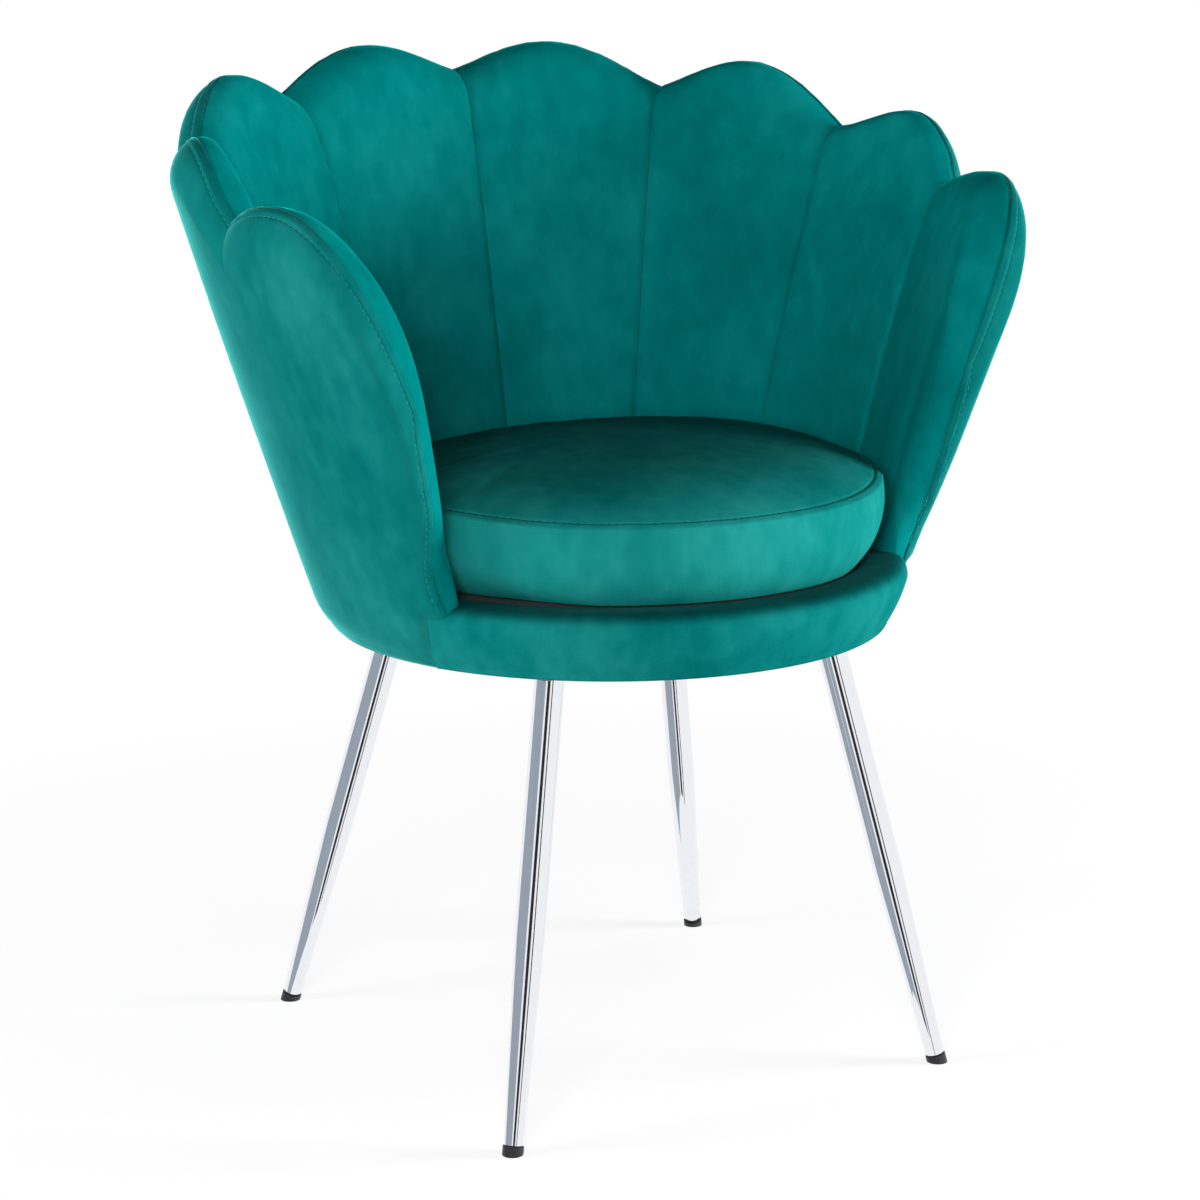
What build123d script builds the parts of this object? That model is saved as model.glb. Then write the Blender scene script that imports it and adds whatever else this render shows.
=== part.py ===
from build123d import *
import math
import os
from collections import namedtuple

# Upholstered scallop-back armchair, in millimetres, +Z up, front towards -Y.
# Everything is drawn about the upright line through the middle of the four feet,
# then moved back to front so that the origin lies under the middle of the whole chair.

# Overall
overall_height = 790.0
gap = 0.4                      # room between two curved faces that lie on each other
step = 5                       # slices through each petal and through the cushion's band
fuse_tolerance = 0.001         # how near two lofts' end faces lie to count as one

# Base, with heights above the lower edge
underside_height = 349.0       # lower edge of the covers, the plywood shell and the rail
lip = 4.0                      # how far that edge hangs below the seat board
board_thickness = 15.0
shell_radius = 217.0           # plywood at the foot of the shell, outside
base_radius = 235.0            # outer cover where the shell begins to lean out
base_back = 227.0              # the same, at the back
flare_rise = 25.0              # up to where the shell begins to lean out
bottom_round = 4.0             # rounded lower edge of the outer cover
bowl_tuck = 14.0               # how far the cover draws in below the start of the flare
bowl_tuck_half_way = 6.0
cover_thickness = 9.0          # outer cover with its wadding, at the rim
ply_thickness = 8.0
ply_bow = 4.0                  # outward bow of the plywood between its foot and its top

# Inside of the shell, half widths about the feet's middle at the cushion line
seat_side = 227.0
seat_back = 163.0
seat_front = 229.0
cushion_line_rise = 38.0       # cushion line above the deck
foot_inset = 25.0              # how far the pads draw in from the cushion line to their foot
side_lean = 0.22
side_flare = 0.0003
back_lean = 0.20
back_flare = 0.0001
front_lean = 0.25
crown_low = 3.0                # swell of a petal at the cushion line
crown_high = 8.0               # swell of a petal at the top of the chair

# Outside of the shell
side_slope = 0.338             # outward lean of the cover at the sides
back_slope = 0.146
front_slope = 0.52
cover_swell = 3.0
cover_swell_drop = 30.0        # end of that swell, below the overall height

# Rim, with heights below the overall height
crest_side = 322.0
crest_back = 266.0
crest_front = 330.0
crest_share = 0.71             # furthest place of the crest between inner and outer face
inner_roll = 32.0              # height of the roll on the inside
outer_roll = 40.0              # height of the roll on the outside, above the plywood
centre_valley_drop = 22.0
rear_valley_drop = 38.5
side_valley_drop = 69.5
arm_valley_drop = 108.5
arm_crest_drop = 96.0
rear_rise = 30.2               # rise of each petal over the line between its valleys
corner_rise = 37.0
side_rise = 36.5
rear_crest_lean = 0.05         # how far each crest leans towards the arms
corner_crest_lean = 0.15
side_crest_lean = 0.38
valley_power = 1.15            # more than 1 rounds the valleys between the crests
arm_crest_angle = -13.0
arm_corner_start = -14.0
arm_corner_span = 17.6
arm_corner_drop = 180.0

# Seams between the petals, as angles from +X at the cushion line and at the rim
centre_seam = (90.0, 90.0)
rear_seam = (54.0, 51.5)
side_seam = (25.0, 21.5)
arm_seam = (-2.0, -2.8)
ply_end_angle = -22.0
arm_end_angle = -31.2
arm_end_share = 0.35           # share of the arm's thickness left at its front end
arm_bluntness = 3.0            # 2 thins the arm like a half round, more like a flat front
arm_seam_offset = 20.0         # from the arm's inner face to the seam on its front edge

# Front rail and apron, with the rail's height above the seat board
rail_rise = 17.0
apron_cover = 16.0             # apron over the top of the rail
apron_inner_leg = 8.7
apron_low_depth = 5.5          # apron in front of the rail at its lower edge
apron_high_depth = 20.0        # the same, at its widest
apron_bow = 1.5
apron_roll = 14.0
apron_inner_round = 6.0

# Seat deck and loose cushion
deck_height = 34.0
deck_round = 6.0
cushion_half_width = 222.0
cushion_back = 158.0
cushion_front = 220.0
cushion_taper = 25.0           # how far the band draws in at its bottom seam
cushion_band_height = 57.7
cushion_crown = 34.0
crown_profile = ((0.0, 0.0), (0.06, 0.2), (0.17, 0.45), (0.42, 0.8), (0.76, 1.0))   # way in, way up
cushion_fabric = 2.0
cushion_seam_inset = 3.0       # the same, at its top seam

# Legs
front_leg_top = (123.0, -128.5)
front_foot = (192.0, -194.0)
back_leg_top = (125.7, 123.0)
back_foot = (199.0, 194.0)
leg_radius = 11.5
foot_radius = 7.4
leg_wall = 1.5
straight_share = 0.55
glide_height = 6.0
glide_overhang = 0.6
glide_stem = 14.0
fit = 0.15                     # radial room of a stem or bolt in its hole

# Mounting plates and fasteners
dust_cover_thickness = 1.0
plate_thickness = 3.0
plate_length = 78.0
plate_width = 46.0
plate_centre = 163.0           # distance from the middle of the board
plate_corner = 8.0
bolt_spread_long = 30.0
bolt_spread_wide = 14.0
bolt_radius = 3.0
bolt_head_radius = 5.0
bolt_head_height = 3.3
bolt_reach = 13.0              # bolt length inside the board
washer_radius = 6.0
washer_thickness = 1.2
nut_flange_radius = 9.0
nut_flange_thickness = 1.2
nut_barrel_radius = 4.0
nut_barrel_length = 9.0
screw_radius = 1.9
screw_head_radius = 4.0
screw_length = 26.0
screw_angles_shell = (0.0, 22.0, 68.0)
screw_angles_rail = (-60.0, -90.0)

# Derived heights and radii
board_bottom = underside_height + lip
board_top = board_bottom + board_thickness
flare_start = underside_height + flare_rise
rail_top = board_top + rail_rise
apron_top = rail_top + apron_cover
apron_low_radius = shell_radius + apron_low_depth
apron_high_radius = shell_radius + apron_high_depth
deck_top = board_top + deck_height
cushion_line = deck_top + cushion_line_rise
cushion_bottom = deck_top + gap
cushion_seam_height = cushion_bottom + cushion_band_height
cover_swell_top = overall_height - cover_swell_drop
centre_valley = overall_height - centre_valley_drop
rear_valley = overall_height - rear_valley_drop
side_valley = overall_height - side_valley_drop
arm_valley = overall_height - arm_valley_drop
arm_height = overall_height - arm_crest_drop
ply_inner = shell_radius - ply_thickness
board_radius = ply_inner - gap
plate_top = board_bottom - dust_cover_thickness
plate_bottom = plate_top - plate_thickness
back_depth = base_back + back_slope * (centre_valley - outer_roll - flare_start)
move_back = (apron_high_radius - back_depth) / 2
half = math.sqrt(0.5)

Cut = namedtuple("Cut", "x y dx dy")
Station = namedtuple("Station", "cut crest swell taper")


# Shapes of the shell, measured along an upright slice

def on_ellipse(angle, side, back, front):
    """Plan point at an angle from +X on an oval whose back and front depths differ."""
    depth = back if angle >= 0 else front
    turn = math.radians(angle)
    radius = side * depth / math.hypot(depth * math.cos(turn), side * math.sin(turn))
    return radius * math.cos(turn), radius * math.sin(turn)


def slice_at(low_angle, high_angle):
    """Upright plane from the cushion line at one angle to the crest line at another."""
    low = on_ellipse(low_angle, seat_side, seat_back, seat_front)
    high = on_ellipse(high_angle, crest_side, crest_back, crest_front)
    run = math.dist(low, high)
    return Cut(low[0], low[1], (high[0] - low[0]) / run, (high[1] - low[1]) / run)


def reach(cut, side, back, front):
    """Distance along a slice, from the cushion line, to an oval."""
    for depth in (back, front):
        square = (cut.dx / side) ** 2 + (cut.dy / depth) ** 2
        cross = cut.x * cut.dx / side ** 2 + cut.y * cut.dy / depth ** 2
        rest = (cut.x / side) ** 2 + (cut.y / depth) ** 2 - 1
        distance = (-cross + math.sqrt(cross ** 2 - square * rest)) / square
        if cut.y + distance * cut.dy >= 0:
            break
    return distance


def inner_face(cut, height):
    lift = height - cushion_line
    if lift < 0:
        return foot_inset * lift / (cushion_line - flare_start)
    side = seat_side + side_lean * lift + side_flare * lift ** 2
    back = seat_back + back_lean * lift + back_flare * lift ** 2
    return reach(cut, side, back, seat_front + front_lean * lift)


def petal_face(station, height):
    lift = height - cushion_line
    crown = crown_low + (crown_high - crown_low) * lift / (overall_height - cushion_line)
    return inner_face(station.cut, height) - crown * station.swell


def outer_face(cut, height):
    lift = height - flare_start
    share = lift / (cover_swell_top - flare_start)
    side = base_radius + side_slope * lift
    swell = max(0.0, 4 * cover_swell * share * (1 - share))
    return reach(cut, side, base_back + back_slope * lift, base_radius + front_slope * lift) + swell


def shell_foot(cut):
    return reach(cut, shell_radius, shell_radius, shell_radius)


# Crest heights and the slices of each petal

def arm_crest(angle):
    if angle >= arm_corner_start:
        fall = (arm_height - arm_valley) / (arm_seam[1] - arm_crest_angle) ** 2
        return arm_height - fall * (angle - arm_crest_angle) ** 2
    share = (arm_corner_start - angle) / arm_corner_span
    return arm_height - arm_corner_drop * (1 - math.sqrt(1 - share ** 2))


def petal_stations(start, end, start_height, end_height, rise, lean):
    stations = []
    for index in range(step):
        share = index / (step - 1)
        swell = 4 * share * (1 - share)
        cut = slice_at(*(a + (b - a) * share for a, b in zip(start, end)))
        turn = math.pi * (share - lean * share * (1 - share))
        bump = rise * max(0.0, math.sin(turn)) ** valley_power
        crest = start_height + (end_height - start_height) * share + bump
        stations.append(Station(cut, crest, swell, 1.0))
    return stations


def arm_stations():
    stations = []
    end = (ply_end_angle, ply_end_angle)
    for index in range(step):
        share = index / (step - 1)
        low, high = (a + (b - a) * share for a, b in zip(arm_seam, end))
        swell = math.sin(math.pi / 2 * share)
        stations.append(Station(slice_at(low, high), arm_crest(high), swell, 1.0))
    return stations


def arm_end_stations():
    """Slices round the arm's front edge, thinning to a blunt front."""
    stations = []
    last = math.acos(arm_end_share ** (arm_bluntness / 2))
    for index in range(step):
        turn = last * index / (step - 1)
        taper = math.cos(turn) ** (2 / arm_bluntness)
        share = (math.sin(turn) / math.sin(last)) ** (2 / arm_bluntness)
        angle = ply_end_angle + (arm_end_angle - ply_end_angle) * share
        stations.append(Station(slice_at(angle, angle), arm_crest(angle), 1.0, taper))
    return stations


# Outlines in a slice

def outline(cut, stretches):
    """Closed wire from stretches of two points, a line, or three, an arc."""
    edges = []
    for stretch in stretches:
        points = [(cut.x + s * cut.dx, cut.y + s * cut.dy, z) for s, z in stretch]
        if len(points) == 2:
            edges.append(Edge.make_line(*points))
        else:
            edges.append(Edge.make_three_point_arc(*points))
    return Wire(edges)


def shifted(point, across, up=0.0):
    return (point[0] + across, point[1] + up)


class Rim:
    """Named points of one slice: pad face, crest, rim seam and cover, all thinned at the arm's end."""

    def __init__(self, station):
        cut, crest, _, taper = station
        inner_height = crest - inner_roll
        outer_height = crest - outer_roll
        inside = inner_face(cut, inner_height)
        outside = outer_face(cut, outer_height)
        ridge = min(reach(cut, crest_side, crest_back, crest_front),
                    inside + crest_share * (outside - inside))

        def thinned(place, height):
            line = inner_face(cut, height) + arm_seam_offset
            return (line + taper * (place - line), height)

        def on_roll(from_place, to_place, low, rise, turn):
            across = from_place + (to_place - from_place) * math.sin(turn)
            return thinned(across, low + rise * math.cos(turn))

        middle = (cushion_line + inner_height) / 2
        swollen = petal_face(station, inner_height)
        self.seam = on_roll(ridge, outside, outer_height, outer_roll, math.pi / 4)
        self.seam_foot = (inner_face(cut, apron_top) + arm_seam_offset, apron_top)
        self.pad_base = (-foot_inset, board_top)
        self.pad_foot = (-foot_inset, flare_start)
        self.pad_low = thinned(petal_face(station, cushion_line), cushion_line)
        self.pad_middle = thinned(petal_face(station, middle), middle)
        self.pad_top = thinned(swollen, inner_height)
        self.pad_roll = on_roll(ridge, swollen, inner_height, inner_roll, math.pi / 4)
        self.ridge = thinned(ridge, crest)
        self.ridge_roll = on_roll(ridge, outside, outer_height, outer_roll, math.pi / 8)
        self.cover_roll = on_roll(ridge, outside, outer_height, outer_roll, math.pi * 3 / 8)
        self.cover_top = thinned(outside, outer_height)
        middle = (flare_start + outer_height) / 2
        self.cover_middle = thinned(outer_face(cut, middle), middle)
        self.cover_foot = (outer_face(cut, flare_start), flare_start)
        self.ply_foot = (shell_foot(cut), flare_start)
        ply_middle = (self.ply_foot[0] + self.cover_top[0] - cover_thickness) / 2
        self.ply_middle = (ply_middle + ply_bow, middle)
        self.ply_top = shifted(self.cover_top, -cover_thickness)


def pad_front(rim):
    """Stretches of a petal from the board, up its face and over the crest to the rim seam."""
    return [(rim.pad_base, rim.pad_foot),
            (rim.pad_foot, rim.pad_low),
            (rim.pad_low, rim.pad_middle, rim.pad_top),
            (rim.pad_top, rim.pad_roll, rim.ridge),
            (rim.ridge, rim.ridge_roll, rim.seam)]


def closing(corners):
    return list(zip(corners[:-1], corners[1:]))


def pad_wire(station):
    """Petal in front of the plywood."""
    rim = Rim(station)
    behind = -ply_thickness - gap
    over_outer = shifted(rim.ply_top, 0.0, gap)
    over_inner = shifted(rim.ply_top, behind, gap)
    back_middle = shifted(rim.ply_middle, behind)
    back_foot = shifted(rim.ply_foot, behind)
    back_base = (back_foot[0], board_top)
    stretches = pad_front(rim) + closing([rim.seam, over_outer, over_inner])
    stretches += [(over_inner, back_middle, back_foot)]
    stretches += closing([back_foot, back_base, rim.pad_base])
    return outline(station.cut, stretches)


def pad_end_wire(station):
    """Petal round the arm's front edge, where it closes over the front rail."""
    rim = Rim(station)
    rail_outer = (rim.ply_foot[0], rail_top + gap)
    rail_inner = shifted(rail_outer, -ply_thickness - gap)
    rail_base = (rail_inner[0], board_top)
    corners = [rim.seam, rim.seam_foot, rail_outer, rail_inner, rail_base, rim.pad_base]
    return outline(station.cut, pad_front(rim) + closing(corners))


def cover_outside(rim):
    """Stretches of the outer cover from the rim seam down and round its lower edge."""
    low = (rim.cover_foot[0] - bowl_tuck, underside_height + bottom_round)
    tucked = (rim.cover_foot[0] - bowl_tuck_half_way, (flare_start + low[1]) / 2)
    turn = shifted(low, -bottom_round * (1 - half), -bottom_round * half)
    under = shifted(low, -bottom_round, -bottom_round)
    return [(shifted(rim.seam, gap), rim.cover_roll, rim.cover_top),
            (rim.cover_top, rim.cover_middle, rim.cover_foot),
            (rim.cover_foot, tucked, low),
            (low, turn, under)]


def cover_wire(station):
    """Outer cover behind the plywood."""
    rim = Rim(station)
    foot_inner = shifted(rim.ply_foot, gap)
    base_inner = (foot_inner[0], underside_height)
    middle_inner = shifted(rim.ply_middle, gap)
    top_inner = shifted(rim.ply_top, gap)
    stretches = cover_outside(rim)
    stretches += closing([stretches[-1][-1], base_inner, foot_inner])
    stretches += [(foot_inner, middle_inner, top_inner)]
    stretches += [(top_inner, shifted(rim.seam, gap))]
    return outline(station.cut, stretches)


def cover_end_wire(station):
    """Outer cover round the arm's front edge."""
    rim = Rim(station)
    base_inner = (rim.ply_foot[0] + gap, underside_height)
    over_rail = (base_inner[0], rail_top + gap)
    stretches = cover_outside(rim)
    corners = [stretches[-1][-1], base_inner, over_rail,
               shifted(rim.seam_foot, gap), shifted(rim.seam, gap)]
    return outline(station.cut, stretches + closing(corners))


def ply_wire(station):
    rim = Rim(station)
    inner_foot = shifted(rim.ply_foot, -ply_thickness)
    inner_top = shifted(rim.ply_top, -ply_thickness)
    inner_middle = shifted(rim.ply_middle, -ply_thickness)
    outer_base = (rim.ply_foot[0], underside_height)
    inner_base = (inner_foot[0], underside_height)
    return outline(station.cut, [(inner_base, outer_base),
                                 (outer_base, rim.ply_foot),
                                 (rim.ply_foot, rim.ply_middle, rim.ply_top),
                                 (rim.ply_top, inner_top),
                                 (inner_top, inner_middle, inner_foot),
                                 (inner_foot, inner_base)])


def loft_through(wire, stations):
    return Solid.make_loft([wire(station) for station in stations])


def joined(solids):
    whole = solids[0]
    for solid in solids[1:]:
        whole = whole.fuse(solid, tol=fuse_tolerance)
    return whole.solid()


def mirrored(shape):
    return shape.mirror(Plane.YZ)


# Shell, petals and outer covers, right side first

rear = petal_stations(centre_seam, rear_seam, centre_valley, rear_valley, rear_rise, rear_crest_lean)
corner = petal_stations(rear_seam, side_seam, rear_valley, side_valley, corner_rise, corner_crest_lean)
side = petal_stations(side_seam, arm_seam, side_valley, arm_valley, side_rise, side_crest_lean)
arm = arm_stations()
arm_end = arm_end_stations()
petals = [arm, side, corner, rear]

nodes = {}
for number, stations in enumerate(petals, start=1):
    pad = loft_through(pad_wire, stations)
    if stations is arm:
        pad = joined([pad, loft_through(pad_end_wire, arm_end)])
    nodes[f"petal_right_{number}"] = pad
    nodes[f"petal_left_{number}"] = mirrored(pad)

side_cover = joined([loft_through(cover_wire, stations) for stations in (corner, side, arm)]
                    + [loft_through(cover_end_wire, arm_end)])
nodes["outer_cover_right"] = side_cover
nodes["outer_cover_left"] = mirrored(side_cover)
rear_cover = loft_through(cover_wire, rear)
nodes["outer_cover_back"] = joined([rear_cover, mirrored(rear_cover)])

right_ply = joined([loft_through(ply_wire, stations) for stations in petals])
back_shell = joined([right_ply, mirrored(right_ply)])


# Seat board, front rail, apron and deck

def ring_arc(corners, rounds, start_angle, end_angle):
    """Part of a ring turned from an upright outline whose listed stretches are arcs."""
    stretches = []
    for index, (first, last) in enumerate(zip(corners, corners[1:] + corners[:1])):
        stretches.append((first, rounds[index], last) if index in rounds else (first, last))
    turn = math.radians(start_angle)
    cut = Cut(0.0, 0.0, math.cos(turn), math.sin(turn))
    return revolve(Face(outline(cut, stretches)), Axis.Z, end_angle - start_angle).solid()


rail_corners = [(ply_inner, underside_height), (shell_radius, underside_height),
                (shell_radius, rail_top), (ply_inner, rail_top)]
front_rail = ring_arc(rail_corners, {}, -180 - ply_end_angle, ply_end_angle)

apron_outer_low = (apron_low_radius, underside_height + bottom_round)
apron_outer_high = (apron_high_radius, apron_top - apron_roll)
apron_middle = (apron_low_radius + apron_high_radius) / 2 + apron_bow
apron_crest = shifted(apron_outer_high, -apron_roll, apron_roll)
apron_inside = ply_inner - gap - apron_inner_leg
apron_shoulder = (apron_inside + apron_inner_round, apron_top)
apron_inner_high = (apron_inside, apron_top - apron_inner_round)
apron_corners = [(shell_radius + gap, underside_height),
                 shifted(apron_outer_low, -bottom_round, -bottom_round),
                 apron_outer_low, apron_outer_high, apron_crest, apron_shoulder, apron_inner_high,
                 (apron_inside, board_top), (ply_inner - gap, board_top),
                 (ply_inner - gap, rail_top + gap), (shell_radius + gap, rail_top + gap)]
apron_rounds = {
    1: shifted(apron_outer_low, -bottom_round * (1 - half), -bottom_round * half),
    2: (apron_middle, (apron_outer_low[1] + apron_outer_high[1]) / 2),
    3: shifted(apron_crest, apron_roll * half, -apron_roll * (1 - half)),
    5: shifted(apron_shoulder, -apron_inner_round * half, -apron_inner_round * (1 - half))}
nodes["apron_pad"] = ring_arc(apron_corners, apron_rounds, -180 - arm_end_angle, arm_end_angle)


def oval_wire(half_width, back, front, height):
    """Plan outline whose back and front halves are ovals of different depth."""
    plane = Plane((0, 0, height))
    return Wire([Edge.make_ellipse(half_width, back, plane, 0, 90),
                 Edge.make_ellipse(half_width, back, plane, 90, 180),
                 Edge.make_ellipse(half_width, front, plane, 180, 270),
                 Edge.make_ellipse(half_width, front, plane, 270, 360)])


deck_room = 2 * gap
deck_inset = foot_inset + deck_room
deck_front = apron_inside - deck_room
deck_side = min(seat_side - deck_inset, deck_front)
deck_outline = oval_wire(deck_side, seat_back - deck_inset, deck_front, board_top)
deck = extrude(Face(deck_outline), deck_height, dir=(0, 0, 1))
nodes["deck_pad"] = fillet(deck.faces().sort_by(Axis.Z)[-1].edges(), deck_round).solid()

seat_board = Pos(0, 0, board_bottom) * Cylinder(
    board_radius, board_thickness, align=(Align.CENTER, Align.CENTER, Align.MIN))
dust_cover = Pos(0, 0, plate_top) * Cylinder(
    board_radius, dust_cover_thickness, align=(Align.CENTER, Align.CENTER, Align.MIN))


# Legs with their plates, glides and fasteners

def rod(radius, low, high):
    return Pos(0, 0, low) * Cylinder(radius, high - low, align=(Align.CENTER, Align.CENTER, Align.MIN))


def turned(points):
    """Solid of revolution about Z from radius and height pairs."""
    return revolve(make_face(Polyline([(r, 0, z) for r, z in points], close=True)), Axis.Z)


def leg_frame(top, foot):
    """Place on a leg's axis where it meets the floor, with Z up along the axis."""
    lean = Vector(top[0] - foot[0], top[1] - foot[1], plate_bottom)
    across = (-lean.Y, lean.X, 0)
    return Location(Plane(origin=(*foot, 0), x_dir=across, z_dir=lean)), lean.length


def tube_profile(length, inset):
    straight_from = length * (1 - straight_share)
    overrun = leg_radius
    return [(0, glide_height), (foot_radius - inset, glide_height), (leg_radius - inset, straight_from),
            (leg_radius - inset, length + overrun), (0, length + overrun)]


leg_ends = {"front": (front_leg_top, front_foot), "back": (back_leg_top, back_foot)}
below_plate = Pos(0, 0, plate_bottom / 2) * Box(4 * base_radius, 4 * base_radius, plate_bottom)
bolt_places = [(along, across) for along in (-bolt_spread_long, bolt_spread_long)
               for across in (-bolt_spread_wide, bolt_spread_wide)]
bolts, washers, nuts = [], [], []

legs = [(f"{end}_{hand}", sign, *places) for end, places in leg_ends.items()
        for hand, sign in (("left", -1), ("right", 1))]
for name, sign, top, foot in legs:
    top = (sign * top[0], top[1])
    axis, length = leg_frame(top, (sign * foot[0], foot[1]))
    outer = turned(tube_profile(length, 0.0))
    bore = turned(tube_profile(length, leg_wall))
    nodes[f"leg_{name}"] = (axis * (outer - bore) & below_plate).solid()

    stem_radius = foot_radius - leg_wall - fit
    cap = rod(foot_radius + glide_overhang, -glide_height, glide_height)
    glide = axis * (cap + rod(stem_radius, glide_height, glide_height + glide_stem))
    nodes[f"glide_{name}"] = (glide & below_plate).solid()

    across = Location((0, 0, 0), (0, 0, math.degrees(math.atan2(top[1], top[0]))))
    middle = across * Pos(plate_centre, 0, 0)
    plate = extrude(RectangleRounded(plate_length, plate_width, plate_corner), plate_thickness)
    plate = middle * Pos(0, 0, plate_bottom) * plate
    for place in bolt_places:
        spot = middle * Pos(*place, 0)
        seat = plate_bottom - washer_thickness
        bolt_top = board_bottom + bolt_reach
        head = rod(bolt_head_radius, seat - bolt_head_height, seat)
        head = chamfer(head.edges().sort_by(Axis.Z)[0], bolt_head_height / 4)
        bolts.append(spot * (head + rod(bolt_radius, seat, bolt_top)))
        washers.append(spot * (rod(washer_radius, seat, plate_bottom)
                               - rod(bolt_radius + fit, seat, plate_bottom)))
        barrel_low = board_top - nut_flange_thickness - nut_barrel_length
        nut = rod(nut_flange_radius, board_top - nut_flange_thickness, board_top)
        nut += rod(nut_barrel_radius, barrel_low, board_top - nut_flange_thickness)
        nuts.append(spot * (nut - rod(bolt_radius + fit, barrel_low, board_top)))
        plate -= spot * rod(bolt_radius + fit, plate_bottom, plate_top)
        dust_cover -= spot * rod(bolt_radius + fit, plate_top, board_bottom)
        seat_board -= spot * rod(nut_barrel_radius + fit, board_bottom, board_top)
        seat_board -= spot * rod(nut_flange_radius + fit, board_top - nut_flange_thickness, board_top)
    nodes[f"leg_plate_{name}"] = plate.solid()


# Countersunk screws through the shell and the rail into the edge of the board

def screw(room):
    """Screw along +X pointing to the middle, its head just under the plywood's outer face."""
    head = screw_head_radius + room
    shank = screw_radius + room
    tip = shell_radius - screw_length - room
    neck = shell_radius - gap - screw_head_radius + screw_radius
    outside = shell_radius - gap if room == 0 else shell_radius + gap
    points = [(tip, 0, 0), (tip + 2 * screw_radius, 0, shank), (neck, 0, shank),
              (shell_radius - gap, 0, head), (outside, 0, head), (outside, 0, 0)]
    if room == 0:
        points.remove((outside, 0, head))
    return revolve(make_face(Polyline(points, close=True)), Axis.X)


screw_height = board_bottom + board_thickness / 2
right_angles = screw_angles_shell + screw_angles_rail[:-1]
screw_angles = set(right_angles) | {180 - angle for angle in right_angles} | set(screw_angles_rail)
screws = []
for angle in sorted(screw_angles):
    spot = Location((0, 0, screw_height), (0, 0, angle))
    screws.append(spot * screw(0.0))
    hole = spot * screw(fit)
    seat_board -= hole
    if math.sin(math.radians(angle)) < math.sin(math.radians(ply_end_angle)):
        front_rail -= hole
    else:
        back_shell -= hole

nodes["back_shell"] = back_shell.solid()
nodes["front_rail"] = front_rail.solid()
nodes["seat_board"] = seat_board.solid()
nodes["dust_cover"] = dust_cover.solid()
nodes["leg_bolts"] = Compound([bolt.solid() for bolt in bolts])
nodes["leg_washers"] = Compound([washer.solid() for washer in washers])
nodes["t_nuts"] = Compound([nut.solid() for nut in nuts])
nodes["shell_screws"] = Compound([each.solid() for each in screws])


# Loose cushion: crowned top panel, boxing band, bottom panel and foam

def cushion_wire(inset, height):
    return oval_wire(cushion_half_width - inset, cushion_back - inset, cushion_front - inset, height)


def crown_loft(inset, lower):
    """Crowned top from the seam up, drawn in and lowered by the layers over it."""
    wires = []
    for across, up in crown_profile:
        height = cushion_seam_height + (cushion_crown - lower) * up
        wires.append(cushion_wire(cushion_seam_inset + inset + across * cushion_back, height))
    return Solid.make_loft(wires)


def band_loft(inset, low, high):
    """Boxing band, a little drawn in at its top seam and turned under at its bottom seam."""
    wires = []
    for index in range(step):
        share = index / (step - 1)
        pull = cushion_seam_inset * share ** 3 + cushion_taper * (1 - share) ** 3
        wires.append(cushion_wire(inset + pull, low + (high - low) * share))
    return Solid.make_loft(wires)


panel_top = cushion_bottom + cushion_fabric
inside = cushion_fabric + gap
bottom_outline = cushion_wire(cushion_taper, cushion_bottom)
bottom_panel = extrude(Face(bottom_outline), cushion_fabric, dir=(0, 0, 1))
nodes["cushion_bottom_panel"] = bottom_panel.solid()
nodes["cushion_band"] = (band_loft(0.0, panel_top, cushion_seam_height)
                         - band_loft(cushion_fabric, panel_top, cushion_seam_height)).solid()
nodes["cushion_top_panel"] = (crown_loft(0.0, 0.0) - crown_loft(cushion_fabric, cushion_fabric)).solid()
band_foam = band_loft(inside, panel_top, cushion_seam_height)
nodes["cushion_foam"] = joined([band_foam, crown_loft(inside, inside)])


# Write each piece

os.makedirs("parts", exist_ok=True)
for name, shape in nodes.items():
    export_step(Pos(0, move_back, 0) * shape, f"parts/{name}.step")
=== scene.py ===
import math
from collections import namedtuple

import bmesh
import bpy
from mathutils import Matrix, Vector, kdtree, noise


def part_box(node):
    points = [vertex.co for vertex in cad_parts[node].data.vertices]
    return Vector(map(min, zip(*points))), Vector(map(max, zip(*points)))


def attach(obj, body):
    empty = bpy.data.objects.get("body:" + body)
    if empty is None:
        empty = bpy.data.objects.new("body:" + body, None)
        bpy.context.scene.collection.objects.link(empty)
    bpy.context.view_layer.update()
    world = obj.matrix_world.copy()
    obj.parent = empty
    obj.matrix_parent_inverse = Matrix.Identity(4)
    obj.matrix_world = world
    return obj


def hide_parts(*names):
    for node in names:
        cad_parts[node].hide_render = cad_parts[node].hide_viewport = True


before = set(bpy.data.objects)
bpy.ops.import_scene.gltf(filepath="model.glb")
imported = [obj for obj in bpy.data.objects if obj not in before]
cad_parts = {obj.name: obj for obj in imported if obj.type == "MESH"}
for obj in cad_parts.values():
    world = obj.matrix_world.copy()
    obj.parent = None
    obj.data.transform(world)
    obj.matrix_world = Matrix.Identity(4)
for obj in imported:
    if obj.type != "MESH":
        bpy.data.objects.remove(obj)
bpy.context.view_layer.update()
scene = bpy.context.scene

# Upholstered scallop-back armchair. The shell is worked out in millimetres about the middle
# of the four feet, as the frame was drawn, and becomes metres when a mesh is made.

METRE = 0.001
move_back = -20.842            # from the middle of the feet to the origin of the frame
same_point = 0.001             # points nearer than this are one point
sharp_angle = 50.0             # an edge that turns by more degrees than this stays sharp
tiny = 1e-9                    # least length that is divided by
path_steps = 24                # points along each curve of a slice, before they are spaced out
back_steps = 7                 # steps up each hidden back

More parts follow.
